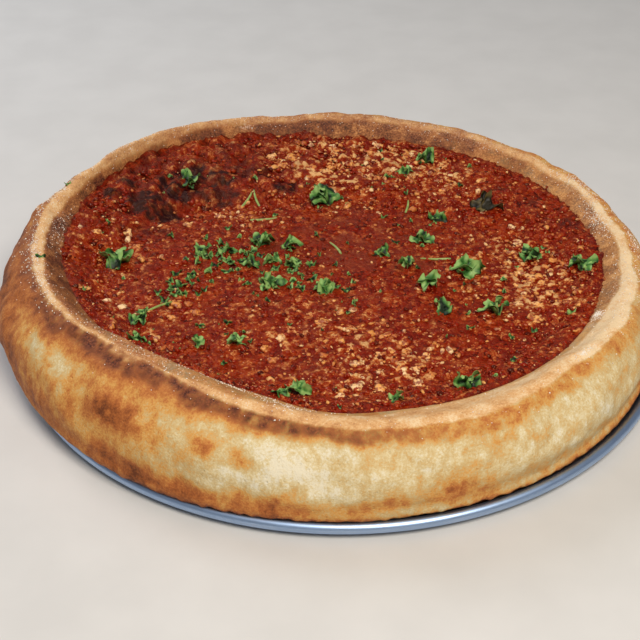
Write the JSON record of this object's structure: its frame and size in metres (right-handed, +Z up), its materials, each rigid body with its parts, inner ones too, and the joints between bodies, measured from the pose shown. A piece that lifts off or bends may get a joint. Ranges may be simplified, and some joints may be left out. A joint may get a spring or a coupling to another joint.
{
  "type": "deep dish pizza",
  "caption": "Deep dish pizza in a shallow round aluminium pan: tall uneven baked crust filled with tomato sauce, cheese crumbs and chopped parsley leaves.",
  "frame": {"origin": "middle of the pan's underside, on the surface it stands on", "axes": "+Z up; -Y is the front that the picture shows; +X is to the right of that view"},
  "size_m": [0.3666, 0.357, 0.0595],
  "materials": {
    "aluminium_sheet": "spun sheet, satin, blue-grey in the light",
    "baked_crust": "baked dough, cream to golden brown, burnt along the lip, dusted with flour",
    "tomato_sauce": "wet granular tomato sauce with crumbs of browned cheese",
    "parsley": "fresh chopped leaf, slightly waxy",
    "dried_herb": "dark dried leaf, dull"
  },
  "bodies": {
    "root": {"pan": "aluminium_sheet", "crust": "baked_crust", "sauce": "tomato_sauce", "parsley_01": "parsley", "parsley_02": "parsley", "parsley_03": "parsley", "parsley_04": "parsley", "parsley_05": "parsley", "parsley_06": "parsley", "parsley_07": "parsley", "parsley_08": "parsley", "parsley_09": "parsley", "parsley_10": "parsley", "parsley_11": "parsley", "parsley_12": "parsley", "parsley_13": "parsley", "parsley_14": "parsley", "parsley_15": "parsley", "parsley_16": "parsley", "parsley_17": "parsley", "parsley_18": "parsley", "parsley_19": "parsley", "parsley_20": "parsley", "parsley_21": "parsley", "parsley_22": "parsley", "parsley_23": "parsley", "parsley_24": "parsley", "parsley_25": "parsley", "parsley_26": "parsley", "parsley_27": "parsley", "parsley_28": "parsley", "parsley_29": "parsley", "parsley_30": "parsley", "parsley_31": "parsley", "parsley_32": "parsley", "dried_leaf": "dried_herb"}
  },
  "joints": []
}
